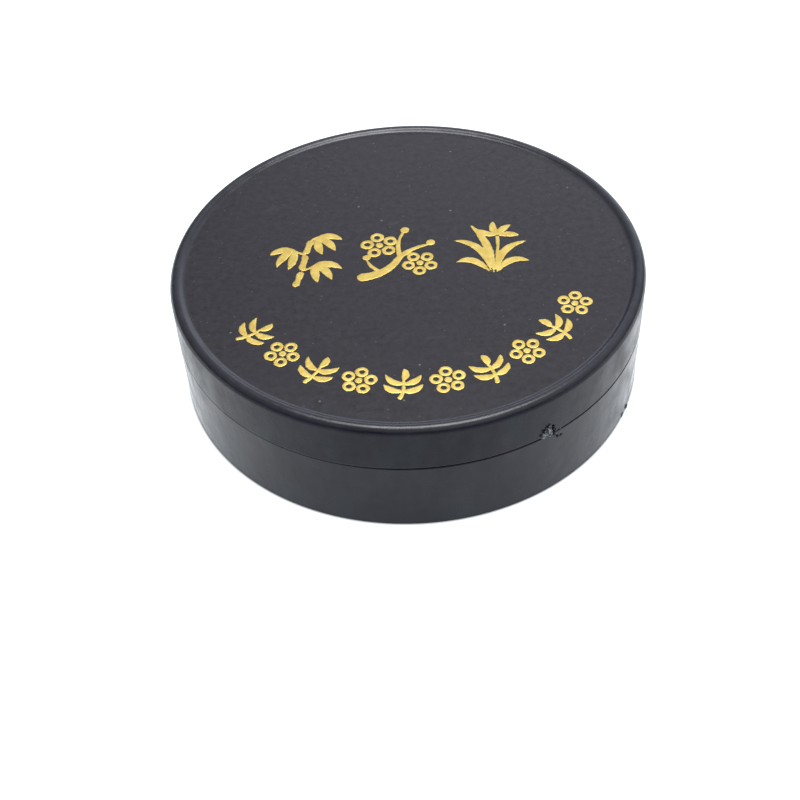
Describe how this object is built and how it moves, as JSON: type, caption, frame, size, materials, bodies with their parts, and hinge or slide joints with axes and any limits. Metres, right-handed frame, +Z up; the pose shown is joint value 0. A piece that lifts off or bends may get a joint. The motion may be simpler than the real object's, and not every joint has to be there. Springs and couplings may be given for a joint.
{
  "type": "solid ink box",
  "caption": "Round flat black plastic box with a lift-off lid, stamped gold plants on top and a cake of solid calligraphy ink inside.",
  "frame": {"origin": "centre of the foot ring, on the surface that the box stands on", "axes": "+Z up through the lid, along the box's axis; +X to the right and -Y to the front as the gold print reads upright"},
  "size_m": [0.075, 0.075, 0.0203],
  "materials": {
    "lid_plastic": "satin moulded black plastic, finely grained on the panel",
    "tray_plastic": "satin moulded black plastic, smoother on the wall",
    "ink": "dried black ink, dull with a faint sheen",
    "gold_foil": "hot-stamped gold foil, satin"
  },
  "bodies": {
    "base": {"base_tray": "tray_plastic", "ink_cake": "ink"},
    "lid": {"lid_cover": "lid_plastic", "gold_bamboo": "gold_foil", "gold_plum": "gold_foil", "gold_orchid": "gold_foil", "gold_mark_1": "gold_foil", "gold_mark_2": "gold_foil", "gold_mark_3": "gold_foil", "gold_mark_4": "gold_foil", "gold_mark_5": "gold_foil", "gold_mark_6": "gold_foil", "gold_mark_7": "gold_foil", "gold_mark_8": "gold_foil", "gold_mark_9": "gold_foil", "gold_mark_10": "gold_foil"}
  },
  "joints": [
    {"name": "lid_lift", "type": "slide", "parent": "base", "child": "lid", "axis": [0, 0, 1], "range_m": [0, 0.05]}
  ]
}
